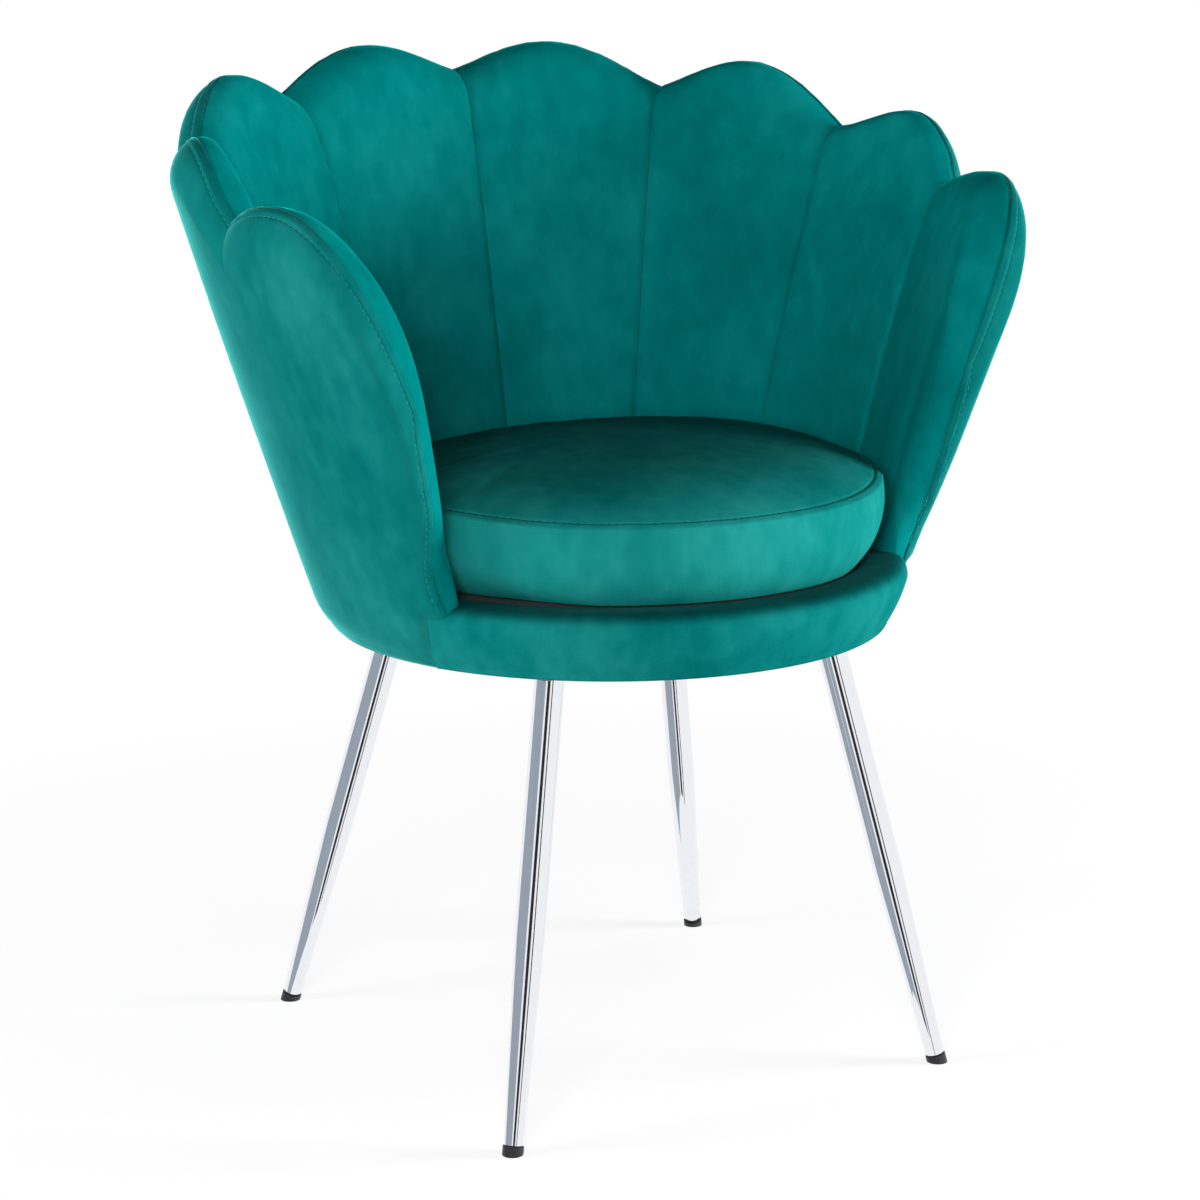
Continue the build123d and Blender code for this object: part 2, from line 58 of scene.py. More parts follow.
# Base
underside_height = 349.0
board_top = 368.0
board_radius = 208.6
shell_radius = 217.0
base_radius = 235.0
base_back = 227.0
flare_start = 374.0
bottom_round = 4.0
bowl_tuck = 14.0
cover_thickness = 9.0
ply_thickness = 8.0
ply_bow = 4.0
room = 0.6                     # between a mesh and the plywood that it lies on

# Inside of the shell, half widths at the cushion line
seat_side = 227.0
seat_back = 163.0
seat_front = 229.0
cushion_line = 440.0
foot_inset = 25.0
side_lean = 0.22
side_flare = 0.0003
back_lean = 0.20
back_flare = 0.0001
front_lean = 0.25
crown_low = 3.0
crown_high = 8.0
crown_top = 790.0
pillow_power = 3.0             # how square the swell of a petal is across its width

# Outside of the shell
side_slope = 0.338
back_slope = 0.146
front_slope = 0.52
cover_swell = 3.0
cover_swell_top = 760.0

# Rim
crest_side = 322.0
crest_back = 266.0
crest_front = 330.0
crest_share = 0.71
inner_roll = 32.0
outer_roll = 40.0
roll_fullness = 0.56           # handle length of the curves over the rim
centre_valley = 768.0
rear_valley = 751.5
side_valley = 720.5
arm_valley = 681.5
rear_rise = 30.2
corner_rise = 37.0
side_rise = 36.5
rear_crest_lean = 0.05
corner_crest_lean = 0.15
side_crest_lean = 0.38
valley_power = 1.15
arm_height = 694.0
arm_crest_angle = -13.0
arm_corner_start = -14.0
arm_corner_span = 17.6
arm_corner_drop = 180.0
seam_share = 0.10              # place of the rim seam on the outer roll

# Seams, as angles from +X at the cushion and at the rim
centre_seam = (90.0, 90.0)
rear_seam = (54.0, 51.5)
side_seam = (25.0, 21.5)
arm_seam = (-2.0, -2.8)
ply_end_angle = -22.0
arm_end_angle = -31.2
arm_bluntness = 3.0            # 2 is a half round, more is flatter in front
arm_spacing_power = 1.6        # more than 1 sets the slices closer beside the arm's seam
arm_turn = 60.0                # degrees that the arm rounds before its slices close in evenly
arm_seam_offset = 24.0         # from the arm's inner face to the seam on its front edge
arm_set_back = 15.0            # how far that seam stands back where it meets the apron
arm_set_back_rise = 80.0
arm_closed_above = 393.0       # below this the arm opens behind the apron
arm_full_below = 378.0
hidden_depth = 4.0             # how far the hidden backs stay behind the arm's front edge

# Sewing
channel_depth = 1.4            # groove of a channel seam
channel_width = 2.6
rim_seam_depth = 0.7
rim_seam_width = 1.7
strip_width = 8.4              # felled strip beside a seam, up to its row of stitches
strip_height = 0.8
strip_start = -0.4             # where its fold begins to rise
strip_full = 1.0               # where it has its full height
strip_fall = 2.0               # over which it falls to the stitches
stitch_groove = 0.4            # how far the stitches draw it in
stitch_groove_width = 0.9
stitch_pitch = 5.6
stitch_length = 4.0
stitch_radius = 0.42
stitch_sides = 6
stitch_form = ((0.0, 0.4), (0.2, 1.0), (0.8, 1.0), (1.0, 0.4))     # way along, share of the radius
pucker = 0.6                   # height of the small puckers along a seam
pucker_reach = 12.0
pucker_length = 10.0
unevenness = 0.9               # slow rise and fall of the padding
unevenness_length = 75.0
cover_unevenness_length = 120.0
unevenness_reach = 30.0        # distance from a seam at which it is full

# Distances from a seam of the rows of points beside it
near_seam = [0.0, 0.6, 1.2, 1.9, 2.7, 3.8, 5.2, 6.6, 7.7, strip_width,
             9.0, 9.6, 10.3, 11.4, 13.2, 16.0, 20.0]

# Apron
rail_top = 385.0
apron_top = 401.0
apron_inside = 199.9
apron_low_radius = 222.5
apron_high_radius = 237.0
apron_bow = 1.5
apron_roll = 14.0
apron_shoulder = apron_top - apron_roll
apron_inner_round = 6.0
apron_seam_angle = -25.8       # where each end is sewn to the arm's cover, at the top
apron_seam_lean = 1.2          # degrees by which that seam runs back to its foot
apron_seam_start = 0.2         # degrees behind the seam where the cover has gone in under the apron
apron_seam_span = 1.4          # degrees over which it goes in
apron_tuck = 2.6               # how far it goes in
apron_tuck_low = 16.8          # below the apron's top, where it is in fully
apron_tuck_high = 2.8          # and where it isn't in at all
apron_hides = (-2.0, -0.5)     # degrees behind the seam, where the apron hides all of it and none
apron_end_tuck = 3.6           # how far each end of the apron turns in
apron_end_width = 1.4
apron_welt = 0.8               # height of the fold along each end of the apron
apron_welt_place = 3.2
apron_welt_width = 1.8

# Deck and cushion
deck_top = 402.0
deck_round = 6.0
deck_gap = 1.0                 # between the deck and the pads round it
deck_foot_rise = 2.0
deck_foot_share = 0.98
deck_round_share = 0.03
deck_shares = (0.93, 0.85, 0.7, 0.5, 0.3, 0.1)
cushion_half_width = 222.0
cushion_back = 158.0
cushion_front = 220.0
cushion_bottom = 402.4
cushion_seam_height = 460.0
cushion_taper = 25.0           # how far the band turns under at its lower edge
cushion_front_fullness = 11.0  # how much less it does so in front, clear of the arms
cushion_front_start = -170.0
cushion_front_end = -115.0
cushion_seam_inset = 3.0
cushion_seam_depth = 0.3
cushion_crown = 34.0
cushion_crown_way = 126.0      # how far in from the edge the crown keeps rising
cushion_side_lift = 6.0        # how far the arms push the top seam up at the sides
cushion_lift_start = -200.0
cushion_lift_end = -40.0
cushion_slack = 2.0            # how much smaller the cushion is before its cover fills
cushion_swell = 6.0            # furthest that filling moves its cover
cushion_turn_power = 3         # how late the band turns in at its seams
cushion_crown_power = 2.2      # how early the crown rises
cushion_top_rise = 2.0         # rise of the top's middle past the crown
cushion_under_shares = (0.02, 0.15, 0.3, 0.45, 0.6, 0.75, 0.87, 0.95)
cushion_top_shares = (0.85, 0.7, 0.5, 0.3, 0.12, 0.03)
cushion_seam_hold = 5.0        # height over which the sewing holds the cover
cushion_deck_hold = 8.0        # height over which the deck does
cushion_free_top = 120.0       # radius of the top's middle, which nothing holds

# Legs
front_leg_top = (123.0, -128.5)
front_foot = (192.0, -194.0)
back_leg_top = (125.7, 123.0)
back_foot = (199.0, 194.0)
leg_top_height = 349.0
leg_radius = 11.5
foot_radius = 7.4
straight_share = 0.55
leg_bend = 1.0                 # either side of where the taper starts
foot_chamfer = 0.5
glide_height = 6.0

# Dust cloth
dust_gap = 0.1
dust_thickness = 0.8

# Where the noise of each soft piece starts
left_seed = 10
cover_seed = 20
back_seed = 23
cushion_seed = 31
seed_slope = 2.7               # how far along y it starts for each step along x

Cut = namedtuple("Cut", "x y dx dy")
Station = namedtuple("Station", "cut crest swell taper")


# Shapes of the shell, measured along an upright slice

def mix(first, last, share):
    return first + (last - first) * share


def spread(first, last, steps):
    """Values from first to last in even steps, with both ends."""
    return [mix(first, last, index / steps) for index in range(steps + 1)]


def around(count):
    """Cosine and sine of even turns round a circle."""
    turns = [2 * math.pi * index / count for index in range(count)]
    return [(math.cos(turn), math.sin(turn)) for turn in turns]


def smooth(low, high, value):
    share = min(max((value - low) / (high - low), 0.0), 1.0)
    return share * share * (3 - 2 * share)


def bell(distance, width):
    return math.exp(-(distance / width) ** 2)


def on_ellipse(angle, side, back, front):
    """Plan point at an angle from +X on an oval whose back and front depths differ."""
    depth = back if angle >= 0 else front
    turn = math.radians(angle)
    radius = side * depth / math.hypot(depth * math.cos(turn), side * math.sin(turn))
    return radius * math.cos(turn), radius * math.sin(turn)


def slice_at(low_angle, high_angle):
    """Upright plane from the cushion line at one angle to the crest line at another."""
    low = on_ellipse(low_angle, seat_side, seat_back, seat_front)
    high = on_ellipse(high_angle, crest_side, crest_back, crest_front)
    run = math.dist(low, high)
    return Cut(low[0], low[1], (high[0] - low[0]) / run, (high[1] - low[1]) / run)


def reach(cut, side, back, front):
    """Distance along a slice, from the cushion line, to an oval."""
    for depth in (back, front):
        square = (cut.dx / side) ** 2 + (cut.dy / depth) ** 2
        cross = cut.x * cut.dx / side ** 2 + cut.y * cut.dy / depth ** 2
        rest = (cut.x / side) ** 2 + (cut.y / depth) ** 2 - 1
        distance = (-cross + math.sqrt(cross ** 2 - square * rest)) / square
        if cut.y + distance * cut.dy >= 0:
            break
    return distance


def petal_face(station, height):
    lift = height - cushion_line
    if lift < 0:
        share = min(1.0, -lift / (cushion_line - flare_start))
        return mix(-crown_low * station.swell, -foot_inset, share)
    side = seat_side + side_lean * lift + side_flare * lift ** 2
    back = seat_back + back_lean * lift + back_flare * lift ** 2
    crown = mix(crown_low, crown_high, lift / (crown_top - cushion_line))
    return reach(station.cut, side, back, seat_front + front_lean * lift) - crown * station.swell


def outer_face(cut, height):
    lift = height - flare_start
    share = lift / (cover_swell_top - flare_start)
    side = base_radius + side_slope * lift
    swell = max(0.0, 4 * cover_swell * share * (1 - share))
    return reach(cut, side, base_back + back_slope * lift, base_radius + front_slope * lift) + swell


def apron_radius(height):
    """Outside of the apron's slanted face and of its rolled top."""
    low = underside_height + bottom_round
    over = height - apron_shoulder
    if over > 0:
        return apron_high_radius - apron_roll + math.sqrt(max(apron_roll ** 2 - over ** 2, 0.0))
    return mix(apron_low_radius, apron_high_radius, max((height - low) / (apron_shoulder - low), 0.0))


def apron_end(height):
    """Angle of the seam between the apron and the arm's cover."""
    return apron_seam_angle + apron_seam_lean * (1 - smooth(underside_height, apron_shoulder, height))


# Crest heights and the slices of each petal

def arm_crest(angle):
    if angle >= arm_corner_start:
        fall = (arm_height - arm_valley) / (arm_seam[1] - arm_crest_angle) ** 2
        return arm_height - fall * (angle - arm_crest_angle) ** 2
    share = (arm_corner_start - angle) / arm_corner_span
    return arm_height - arm_corner_drop * (1 - math.sqrt(1 - share ** 2))


def eased(count):
    """Shares from 0 to 1, closest together at both ends."""
    return [(1 - math.cos(turn)) / 2 for turn in spread(0.0, math.pi, count - 1)]


def petal_stations(start, end, start_height, end_height, rise, lean, count=41):
    stations = []
    for share in eased(count):
        swell = 1 - abs(2 * share - 1) ** pillow_power
        turn = math.pi * (share - lean * share * (1 - share))
        bump = rise * max(0.0, math.sin(turn)) ** valley_power
        cut = slice_at(*(mix(a, b, share) for a, b in zip(start, end)))
        stations.append(Station(cut, mix(start_height, end_height, share) + bump, swell, 1.0))
    return stations


def arm_stations(count=37, turns=12, rows=18):
    """Slices of the arm: from its seam to where it rounds, then round its front edge to the rim seam."""
    stations = []
    for step in spread(0.0, 1.0, count - 1):
        share = step ** arm_spacing_power
        low, high = (mix(a, ply_end_angle, share) for a in arm_seam)
        stations.append(Station(slice_at(low, high), arm_crest(high), math.sin(math.pi / 2 * share), 1.0))
    power = 2 / arm_bluntness
    tapers = [math.cos(math.radians(turn)) ** power for turn in spread(0.0, arm_turn, turns)[1:]]
    tapers += spread(tapers[-1], 0.0, rows)[1:]
    for taper in tapers:
        share = (1 - taper ** arm_bluntness) ** (1 / arm_bluntness)
        angle = mix(ply_end_angle, arm_end_angle, share)
        stations.append(Station(slice_at(angle, angle), arm_crest(angle), 1.0, taper))
    return stations


# Paths in a slice

def bezier(points, share):
    rest = 1 - share
    weights = (rest ** 3, 3 * rest ** 2 * share, 3 * rest * share ** 2, share ** 3)
    return tuple(sum(w * p[axis] for w, p in zip(weights, points)) for axis in (0, 1))


def lengths_along(path):
    total = [0.0]
    for first, last in zip(path, path[1:]):
        total.append(total[-1] + math.dist(first, last))
    return total


def resampled(path, places, total=None):
    """Points of a path at rising distances from its start, by its own lengths or by those given."""
    total = total or lengths_along(path)
    points = []
    index = 0
    for place in places:
        while index < len(path) - 2 and total[index + 1] < place:
            index += 1
        share = (place - total[index]) / max(total[index + 1] - total[index], tiny)
        points.append(tuple(mix(a, b, share) for a, b in zip(path[index], path[index + 1])))
    return points


def arc(centre, radius, start, end, steps=8):
    """Points of a flat arc between two angles in degrees."""
    turns = [math.radians(angle) for angle in spread(start, end, steps)]
    return [(centre[0] + radius * math.cos(t), centre[1] + radius * math.sin(t)) for t in turns]


def seam_spaced(path, count):
    """Points of a path that starts at a seam: close beside it, then even to the path's end."""
    length = lengths_along(path)[-1]
    return resampled(path, near_seam + spread(near_seam[-1], length, count - len(near_seam))[1:])


class Slice:
    """One upright slice: paths of the pad's face, of the cover's face and of the plywood between them."""

    def __init__(self, station):
        self.station = station
        cut, crest, _, self.taper = station
        self.inner_height = crest - inner_roll
        self.outer_height = crest - outer_roll
        inside = self.bare_face(self.inner_height)
        self.outside = outer_face(cut, self.outer_height)
        ridge = min(reach(cut, crest_side, crest_back, crest_front),
                    mix(inside, self.outside, crest_share))
        swollen = petal_face(station, self.inner_height)
        lean = swollen - petal_face(station, self.inner_height - 1)
        slope = self.outside - outer_face(cut, self.outer_height - 1)
        rise = inner_roll * roll_fullness
        self.inner_curve = [(swollen, self.inner_height),
                            (swollen + lean * rise, self.inner_height + rise),
                            (mix(ridge, swollen, roll_fullness), crest), (ridge, crest)]
        rise = outer_roll * roll_fullness
        self.outer_curve = [(ridge, crest), (mix(ridge, self.outside, roll_fullness), crest),
                            (self.outside + slope * rise, self.outer_height + rise),
                            (self.outside, self.outer_height)]
        self.ply_foot = reach(cut, *[shell_radius] * 3)

    def bare_face(self, height):
        return petal_face(self.station._replace(swell=0.0), height)

    def thinned(self, point, taper=None):
        """Draws a point towards the seam on the arm's front edge, which runs down beside the apron."""
        place, height = point
        beside_apron = reach(self.station.cut, *[apron_radius(min(height, apron_shoulder))] * 3)
        line = self.bare_face(height) + arm_seam_offset
        line = mix(beside_apron, line, smooth(apron_shoulder, apron_top, height))
        return (mix(line, place, self.taper if taper is None else taper), height)

    def pad_point(self, point):
        blend = smooth(arm_full_below, arm_closed_above, point[1])
        return self.thinned(point, mix(1.0, self.taper, blend))

    def plywood(self, height):
        """Outer face of the plywood."""
        top = self.outside - cover_thickness
        share = max(0.0, (height - flare_start) / (self.outer_height - flare_start))
        return mix(self.ply_foot, top, share) + 4 * ply_bow * share * (1 - share)

    def pad_face(self, count):
        """From the rim seam over the crest and down the petal to the board."""
        path = [bezier(self.outer_curve, share) for share in spread(seam_share, 0.0, path_steps)[:-1]]
        path += [bezier(self.inner_curve, share) for share in spread(1.0, 0.0, path_steps)[:-1]]
        heights = spread(self.inner_height, board_top, 3 * path_steps)
        path += [(petal_face(self.station, height), height) for height in heights]
        return seam_spaced([self.pad_point(point) for point in path], count)

    def pad_back(self):
        """From the board up behind the petal, over the plywood's top to the rim seam."""
        heights = spread(board_top, self.outer_height + room, back_steps)
        path = [(self.plywood(height) - ply_thickness - room, height) for height in heights]
        path.append((self.outside - cover_thickness, self.outer_height + room))
        return [self.pad_point(point) for point in path]

    def cover_face(self, count):
        """From the rim seam down the outer cover and round its lower edge."""
        cut = self.station.cut
        path = [bezier(self.outer_curve, share) for share in spread(seam_share, 1.0, path_steps)[:-1]]
        heights = spread(self.outer_height, flare_start, 3 * path_steps)[:-1]
        path += [(outer_face(cut, height), height) for height in heights]
        foot = outer_face(cut, flare_start)
        slope = outer_face(cut, flare_start + 1) - foot
        fall = flare_start - underside_height - bottom_round
        bend = (bowl_tuck - slope * fall) / fall ** 2
        for drop in spread(0.0, fall, path_steps)[:-1]:
            path.append((foot - slope * drop - bend * drop ** 2, flare_start - drop))
        middle = (foot - bowl_tuck - bottom_round, underside_height + bottom_round)
        path += arc(middle, bottom_round, 0, -90)
        return seam_spaced([self.thinned(point) for point in path], count)

    def cover_back(self):
        """From the lower edge up behind the cover to the rim seam."""
        heights = spread(underside_height, self.outer_height, back_steps)
        return [self.thinned((self.plywood(height) + room, height)) for height in heights]

    def placed(self, path, sunk=0.0):
        """Points in space, sunk back from the arm's front edge where the slice is thinned."""
        cut = self.station.cut
        back = sunk * (1 - self.taper)
        x, y = cut.x - back * cut.dy, cut.y + back * cut.dx
        roundness = (1 - self.taper ** arm_bluntness) ** (1 / arm_bluntness)
        points = []
        for s, z in path:
            set_back = arm_set_back * roundness * min(max(s / arm_seam_offset, 0.0), 1.0)
            set_back *= 1 - smooth(apron_top, apron_top + arm_set_back_rise, z)
            points.append(Vector((x + s * cut.dx - set_back * cut.dy, y + s * cut.dy + set_back * cut.dx, z)))
        return points


# Meshes

def linked(name, data):
    """New object in the scene."""
    thing = bpy.data.objects.new(name, data)
    scene.collection.objects.link(thing)
    return thing


def make_object(name, points, faces):
    """Mesh object from points in millimetres about the middle of the feet."""
    mesh = bpy.data.meshes.new(name)
    mesh.from_pydata([(x * METRE, (y + move_back) * METRE, z * METRE) for x, y, z in points], [], faces)
    work = bmesh.new()
    work.from_mesh(mesh)
    bmesh.ops.remove_doubles(work, verts=work.verts, dist=same_point * METRE)
    bmesh.ops.recalc_face_normals(work, faces=work.faces)
    work.to_mesh(mesh)
    work.free()
    mesh.shade_smooth()
    mesh.set_sharp_from_angle(angle=math.radians(sharp_angle))
    return linked(name, mesh)


def skin(loops):
    """Points and faces of a solid skinned over closed loops, with both ends filled."""
    size = len(loops[0])
    points = [point for loop in loops for point in loop]
    faces = []
    for low in range(0, len(points) - size, size):
        high = low + size
        for index in range(size):
            after = (index + 1) % size
            faces.append((low + index, low + after, high + after, high + index))
    faces.append(tuple(range(size)))
    faces.append(tuple(range(len(points) - size, len(points))))
    return points, faces


def mirrored(points):
    return [Vector((-x, y, z)) for x, y, z in points]


def handed(name, points, faces, mirror):
    """Mesh object of the right hand, or mirrored for the left."""
    return make_object(name, mirrored(points) if mirror else points, faces)


def dressed(thing, material, replaced=(), body="frame"):
    """Rides a body, takes its material and stands for CAD nodes."""
    thing.data.materials.append(material)
    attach(thing, body)
    if replaced:
        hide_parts(*replaced)


def ruffle(place, length, seed):
    return noise.noise(place / length + Vector((seed, seed_slope * seed, 0.0)))


def padding(point, distance, length, seed):
    """Small puckers near a seam, and slow unevenness away from it."""
    puckers = pucker * math.exp(-distance / pucker_reach) * ruffle(point, pucker_length, seed)
    slow = unevenness * ruffle(point, length, seed) * smooth(0.0, unevenness_reach, distance)
    return puckers + slow


def normals_of(grid):
    """Unit normals of a grid of points, on the right hand of its rows."""
    rows, columns = len(grid), len(grid[0])
    normals = []
    for row in range(rows):
        after, before = grid[min(row + 1, rows - 1)], grid[max(row - 1, 0)]
        line = []
        for column in range(columns):
            along = after[column] - before[column]
            down = grid[row][min(column + 1, columns - 1)] - grid[row][max(column - 1, 0)]
            line.append(along.cross(down).normalized())
        normals.append(line)
    return normals


def pushed(grid, lift, sign):
    """Grid with each point moved out along its normal by lift(row, column)."""
    normals = normals_of(grid)
    return [[point + sign * lift(row, column) * normals[row][column] for column, point in enumerate(line)]
            for row, line in enumerate(grid)]


def felled_strip(distance):
    """Height of the folded edge beside a seam, with its row of stitches drawn in."""
    rise = smooth(strip_start, strip_full, distance)
    fall = smooth(strip_width - strip_fall, strip_width, distance)
    groove = stitch_groove * bell(distance - strip_width, stitch_groove_width)
    return strip_height * rise * (1 - fall) - groove


def stitches(line):
    """Row of small stitches along a line of points and their normals."""
    total = lengths_along([point for point, _ in line])
    flat = [(*point, *normal) for point, normal in line]
    starts = [number * stitch_pitch for number in range(int(total[-1] / stitch_pitch))]
    ends = resampled(flat, [place for start in starts for place in (start, start + stitch_length)], total)
    points, faces = [], []
    for first, last in zip(ends[::2], ends[1::2]):
        start, end = Vector(first[:3]), Vector(last[:3])
        out = Vector(first[3:]).normalized()
        side = out.cross(end - start).normalized()
        loops = []
        for share, size in stitch_form:
            middle = start.lerp(end, share)
            radius = stitch_radius * size
            loops.append([middle + radius * (c * side + s * out) for c, s in around(stitch_sides)])
        more_points, more_faces = skin(loops)
        faces += [tuple(len(points) + corner for corner in face) for face in more_faces]
        points += more_points
    return points, faces


# Materials

def node_material(name):
    """New material with its node tree and its shader."""
    material = bpy.data.materials.new(name)
    material.use_nodes = True
    return material, material.node_tree, material.node_tree.nodes["Principled BSDF"]


def put(tree, node, values):
    """Gives a node's sockets plain values, or links them to outputs or to other nodes' first outputs."""
    for socket, value in values.items():
        if isinstance(value, bpy.types.Node):
            value = value.outputs[0]
        if isinstance(value, bpy.types.NodeSocket):
            tree.links.new(value, node.inputs[socket])
        else:
            node.inputs[socket].default_value = value


def added(tree, kind, values=None, operation=None):
    """New node with its sockets set."""
    node = tree.nodes.new("ShaderNode" + kind)
    if operation:
        node.operation = operation
    if values:
        put(tree, node, values)
    return node


def noise_texture(tree, scale, detail=2.0, stretch=(1.0, 1.0, 1.0)):
    place = added(tree, "TexCoord").outputs["Object"]
    mapped = added(tree, "Mapping", {"Vector": place, "Scale": stretch})
    return added(tree, "TexNoise", {"Vector": mapped, "Scale": scale, "Detail": detail})


def ramp(tree, source, stops):
    """Colours at places along a factor."""
    node = added(tree, "ValToRGB", {"Fac": source})
    elements = node.color_ramp.elements
    while len(elements) < len(stops):
        elements.new(0.5)
    for element, (place, colour) in zip(elements, stops):
        element.position = place
        element.color = (*colour, 1.0)
    return node


def bump(tree, height, strength, depth):
    return added(tree, "Bump", {"Height": height, "Strength": strength, "Distance": depth})


def velvet(name, dark, middle, light, shaded_way, shade_level, sheen, tint):
    """Cut pile: cloudy nap and fine tufts, and painted shade on surfaces that face a given way."""
    material, tree, shader = node_material(name)
    clouds = noise_texture(tree, scale=9.0, detail=5.0, stretch=(1.0, 1.0, 0.8))
    strokes = noise_texture(tree, scale=65.0, detail=4.0, stretch=(1.0, 1.0, 0.6))
    nap = added(tree, "Mix", {"Factor": 0.35, 2: clouds, 3: strokes})
    colour = ramp(tree, nap, [(0.32, dark), (0.5, middle), (0.7, light)])
    normal = added(tree, "NewGeometry").outputs["Normal"]
    facing_shaded_way = added(tree, "VectorMath", {0: normal, 1: shaded_way}, "DOT_PRODUCT").outputs["Value"]
    # Painted shade: the colour darkens, down to the given level, on surfaces that face the given way.
    painted_shade = added(tree, "MapRange", {"Value": facing_shaded_way, "From Min": 0.4, "From Max": 0.97,
                                         "To Min": 1.0, "To Max": shade_level})
    painted_shade.interpolation_type = "SMOOTHSTEP"
    shade = added(tree, "VectorMath", {0: colour, "Scale": painted_shade}, "SCALE")
    tufts = bump(tree, noise_texture(tree, scale=900.0), strength=0.35, depth=0.0006)
    put(tree, shader, {"Base Color": shade, "Normal": tufts, "Roughness": 0.85,
                       "Specular IOR Level": 0.0, "Sheen Weight": sheen, "Sheen Roughness": 0.28,
                       "Sheen Tint": (*tint, 1.0)})
    return material


def metal(name, colour, low, high, scale):
    """Metal whose roughness wanders between low and high."""
    material, tree, shader = node_material(name)
    marks = noise_texture(tree, scale, detail=3.0)
    grey = ramp(tree, marks, [(0.3, (low,) * 3), (0.7, (high,) * 3)])
    shade = ramp(tree, marks, [(0.2, tuple(c * 0.96 for c in colour)), (0.8, colour)])
    put(tree, shader, {"Base Color": shade, "Roughness": grey, "Metallic": 1.0})
    return material


def grained(name, dark, light, grain, strength, depth, roughness, specular=0.5):
    """Dull stuff with a grain of two tones."""
    material, tree, shader = node_material(name)
    tone = noise_texture(tree, **grain)
    put(tree, shader, {"Base Color": ramp(tree, tone, [(0.3, dark), (0.7, light)]),
                       "Normal": bump(tree, tone, strength, depth),
                       "Roughness": roughness, "Specular IOR Level": specular})
    return material


def cloth(name, dark, light, scale, depth):
    """Flat woven or felted fabric."""
    return grained(name, dark, light, {"scale": scale},
                   strength=0.5, depth=depth, roughness=0.9, specular=0.2)


upward_shade = (0.0, 0.0, 1.0)      # ways whose facing surfaces get painted shade
up_back_shade = (0.0, 0.5, 0.87)
pale_gleam = (0.16, 0.92, 0.87)
pure_gleam = (0.01, 0.92, 0.88)
# One velvet in four copies whose base tones are set lighter or darker per piece: painted light and shade for
# how the lamps fall on the inside, the outer covers, the seat and the apron.
inner_velvet = velvet("velvet_inside", (0.0, 0.101, 0.099), (0.0, 0.133, 0.130), (0.003, 0.173, 0.167),
                      up_back_shade, shade_level=0.5, sheen=0.34, tint=pure_gleam)
outer_velvet = velvet("velvet_outside", (0.0, 0.078, 0.076), (0.002, 0.106, 0.101), (0.008, 0.143, 0.135),
                      upward_shade, shade_level=0.55, sheen=0.6, tint=pale_gleam)
seat_velvet = velvet("velvet_seat", (0.001, 0.118, 0.112), (0.006, 0.155, 0.144), (0.014, 0.200, 0.183),
                     up_back_shade, shade_level=0.30, sheen=0.0, tint=pale_gleam)
apron_velvet = velvet("velvet_apron", (0.0, 0.085, 0.083), (0.002, 0.118, 0.113), (0.008, 0.158, 0.150),
                      upward_shade, shade_level=0.36, sheen=0.03, tint=pale_gleam)
thread = cloth("thread", (0.003, 0.13, 0.12), (0.012, 0.20, 0.19), scale=2500.0, depth=0.0002)
deck_fabric = cloth("deck_cloth", (0.012, 0.014, 0.014), (0.03, 0.034, 0.034), scale=1400.0, depth=0.0004)
dust_fabric = cloth("dust_cloth", (0.010, 0.010, 0.011), (0.024, 0.024, 0.026), scale=1800.0, depth=0.0003)
chrome = metal("chrome", (0.86, 0.88, 0.91), low=0.03, high=0.07, scale=160.0)
steel = metal("steel", (0.55, 0.56, 0.58), low=0.28, high=0.42, scale=220.0)
wood_grain = {"scale": 30.0, "detail": 6.0, "stretch": (1.0, 8.0, 1.0)}
wood = grained("plywood", (0.42, 0.27, 0.14), (0.62, 0.45, 0.27), wood_grain,
               strength=0.3, depth=0.0005, roughness=0.65)
black = grained("glide_plastic", (0.008, 0.008, 0.009), (0.018, 0.018, 0.020), {"scale": 600.0},
                strength=0.2, depth=0.0003, roughness=0.5)


# Petals and outer covers

def rim_distances(grid, ends_in_edge):
    """Distance of each point from the rim seam, along its slice or from the arm's front edge."""
    distances = []
    for line in grid:
        along = lengths_along(line)
        if ends_in_edge:
            along = [min(a, (p - q).length) for a, p, q in zip(along, line, grid[-1])]
        distances.append(along)
    return distances


def petal_loops(stations, seed, count=84):
    slices = [Slice(station) for station in stations]
    grid = [each.placed(each.pad_face(count)) for each in slices]
    ends_in_edge = stations[-1].taper < 1.0
    rim = rim_distances(grid, ends_in_edge)

    def lift(row, column):
        point = grid[row][column]
        side = (point - grid[0][column]).length
        if not ends_in_edge:
            side = min(side, (point - grid[-1][column]).length)
        grooves = channel_depth * bell(side, channel_width)
        grooves += rim_seam_depth * bell(rim[row][column], rim_seam_width)
        return padding(point, min(side, rim[row][column]), unevenness_length, seed) - grooves

    faces = pushed(grid, lift, -1)
    backs = [each.placed(each.pad_back(), hidden_depth) for each in slices]
    return [face + back for face, back in zip(faces, backs)]


def under_apron(point):
    """Point of a cover, drawn in under the apron where it is past the seam between them."""
    behind = math.degrees(math.atan2(point.y, point.x)) - apron_end(point.z)
    ahead = 1 - smooth(apron_seam_start, apron_seam_start + apron_seam_span, behind)
    share = ahead * (1 - smooth(apron_top - apron_tuck_low, apron_top - apron_tuck_high, point.z))
    radius = math.hypot(point.x, point.y)
    limit = min(radius, apron_radius(min(point.z, apron_top)) - apron_tuck)
    scale = mix(radius, limit, share) / radius
    hidden = 1 - smooth(*apron_hides, behind)
    raised = apron_tuck * hidden * (1 - smooth(underside_height, underside_height + apron_roll, point.z))
    return Vector((point.x * scale, point.y * scale, point.z + raised))


